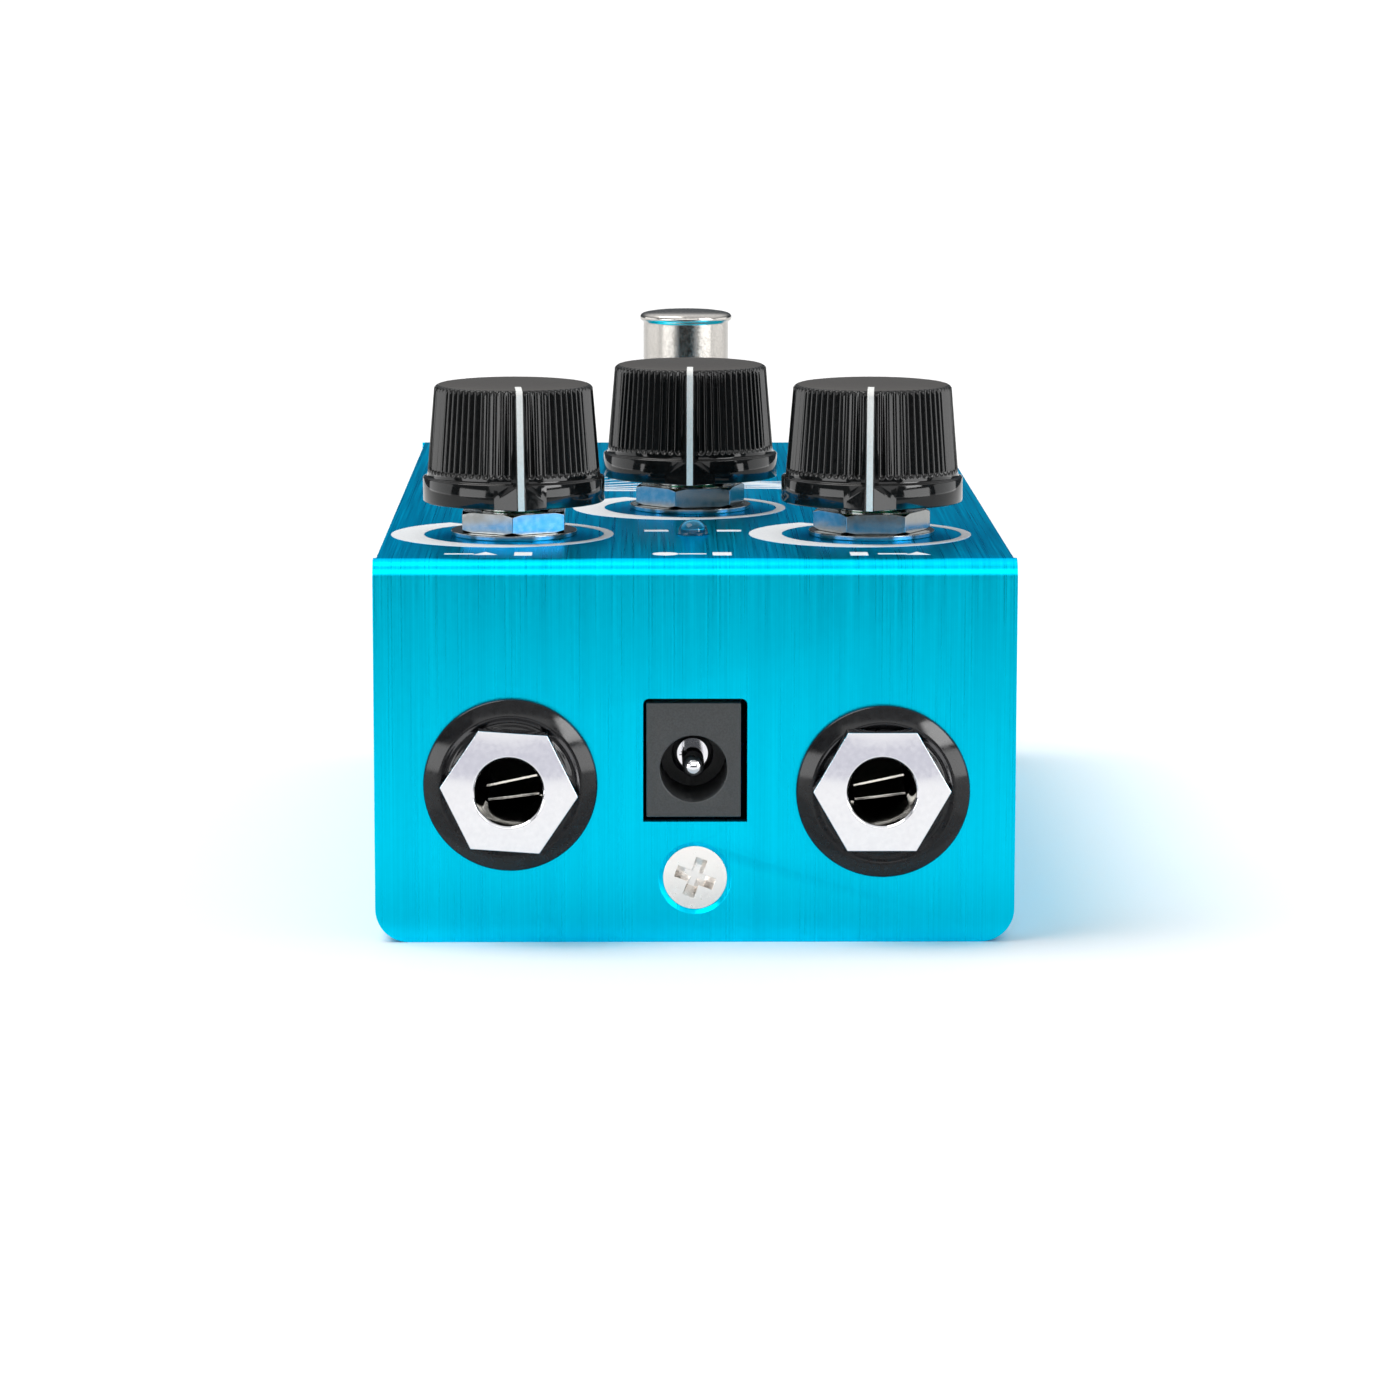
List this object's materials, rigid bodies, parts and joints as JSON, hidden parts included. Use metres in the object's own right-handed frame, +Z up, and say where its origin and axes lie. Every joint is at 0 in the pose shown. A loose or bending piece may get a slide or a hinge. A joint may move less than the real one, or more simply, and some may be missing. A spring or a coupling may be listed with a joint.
{
  "type": "guitar effects pedal",
  "caption": "Compact guitar effects pedal in a folded brushed-metal case with fluted knobs, a stomp switch, signal jacks and a power inlet.",
  "frame": {"origin": "centre of the case's underside", "axes": "+Z up out of the top plate, -Y out of the rear end with the jacks, +X to the output jack"},
  "size_m": [0.061, 0.1158, 0.0538],
  "materials": {
    "case_metal": "brushed, teal-blue anodised",
    "zinc_plate": "bluish zinc plate, satin",
    "screw_steel": "nickel plate, satin",
    "jack_plastic": "matt black moulding",
    "ferrule_chrome": "mirror chrome",
    "washer_black": "glossy black moulding",
    "contact_metal": "tin-plated brass, bright",
    "inlet_plastic": "satin charcoal moulding",
    "lens_clear": "clear epoxy",
    "tinned_wire": "bright tin",
    "board_green": "green solder mask over laminate",
    "chip_black": "matt moulded epoxy",
    "capacitor_sleeve": "shrunk sleeve with a bare aluminium top",
    "film_red": "dipped red coat",
    "resistor_blue": "pale blue lacquer",
    "ribbon_grey": "flat grey cable",
    "phenolic_brown": "pressed phenolic paper",
    "button_nickel": "satin nickel",
    "rotor_ivory": "natural acetal",
    "spring_steel": "plain spring wire",
    "housing_blue": "blue moulded case",
    "shaft_metal": "turned, plain",
    "knob_black": "glossy black, satin on top",
    "insert_brass": "turned brass",
    "line_white": "white paint filled in a groove",
    "screw_black": "black oxide"
  },
  "bodies": {
    "enclosure": {"top_cover": "case_metal", "base_tray": "case_metal", "clinch_nuts": "zinc_plate", "case_screws": "screw_steel", "input_jack_body": "jack_plastic", "output_jack_body": "jack_plastic", "input_ferrule": "ferrule_chrome", "output_ferrule": "ferrule_chrome", "jack_flange_washers": "washer_black", "jack_tip_springs": "contact_metal", "jack_sleeve_springs": "contact_metal", "inlet_body": "inlet_plastic", "inlet_pin": "contact_metal", "inlet_spring": "contact_metal", "led_lens": "lens_clear", "led_leads": "tinned_wire", "main_board": "board_green", "board_chips": "chip_black", "board_electrolytics": "capacitor_sleeve", "board_film_caps": "film_red", "board_resistors": "resistor_blue", "switch_ribbon": "ribbon_grey", "switch_board": "board_green", "pot_wafers": "phenolic_brown", "pot_bushings": "zinc_plate", "pot_pins": "tinned_wire", "pot_nuts": "zinc_plate", "pot_washers": "zinc_plate", "foot_spring": "spring_steel", "foot_bushing": "button_nickel", "foot_nut": "button_nickel", "foot_lock_washer": "zinc_plate", "foot_frame": "zinc_plate", "foot_housing": "housing_blue", "foot_plate": "phenolic_brown", "foot_terminals": "tinned_wire", "pot_can_left": "zinc_plate", "pot_can_middle": "zinc_plate", "pot_can_right": "zinc_plate"},
    "control_left": {"knob_left": "knob_black", "knob_insert_left": "insert_brass", "knob_line_left": "line_white", "knob_screw_left": "screw_black", "pot_shaft_left": "shaft_metal", "pot_rotor_left": "rotor_ivory"},
    "control_middle": {"knob_middle": "knob_black", "knob_insert_middle": "insert_brass", "knob_line_middle": "line_white", "knob_screw_middle": "screw_black", "pot_shaft_middle": "shaft_metal", "pot_rotor_middle": "rotor_ivory"},
    "control_right": {"knob_right": "knob_black", "knob_insert_right": "insert_brass", "knob_line_right": "line_white", "knob_screw_right": "screw_black", "pot_shaft_right": "shaft_metal", "pot_rotor_right": "rotor_ivory"},
    "stomp_button": {"foot_button": "button_nickel", "foot_slider": "rotor_ivory"}
  },
  "joints": [
    {"name": "turn_left", "type": "hinge", "parent": "enclosure", "child": "control_left", "pos_m": [-0.01761, -0.0353, 0.0401], "axis": [0, 0, 1], "range_deg": [-155.5, 144.5]},
    {"name": "turn_middle", "type": "hinge", "parent": "enclosure", "child": "control_middle", "pos_m": [0, -0.01248, 0.0401], "axis": [0, 0, 1], "range_deg": [-149, 151]},
    {"name": "turn_right", "type": "hinge", "parent": "enclosure", "child": "control_right", "pos_m": [0.01761, -0.0353, 0.0401], "axis": [0, 0, 1], "range_deg": [-146, 154]},
    {"name": "stomp_press", "type": "slide", "parent": "enclosure", "child": "stomp_button", "axis": [0, 0, -1], "range_m": [0, 0.003], "stiffness_N_per_m": 1500, "springref_m": -0.002, "deforming": ["foot_spring"]}
  ]
}
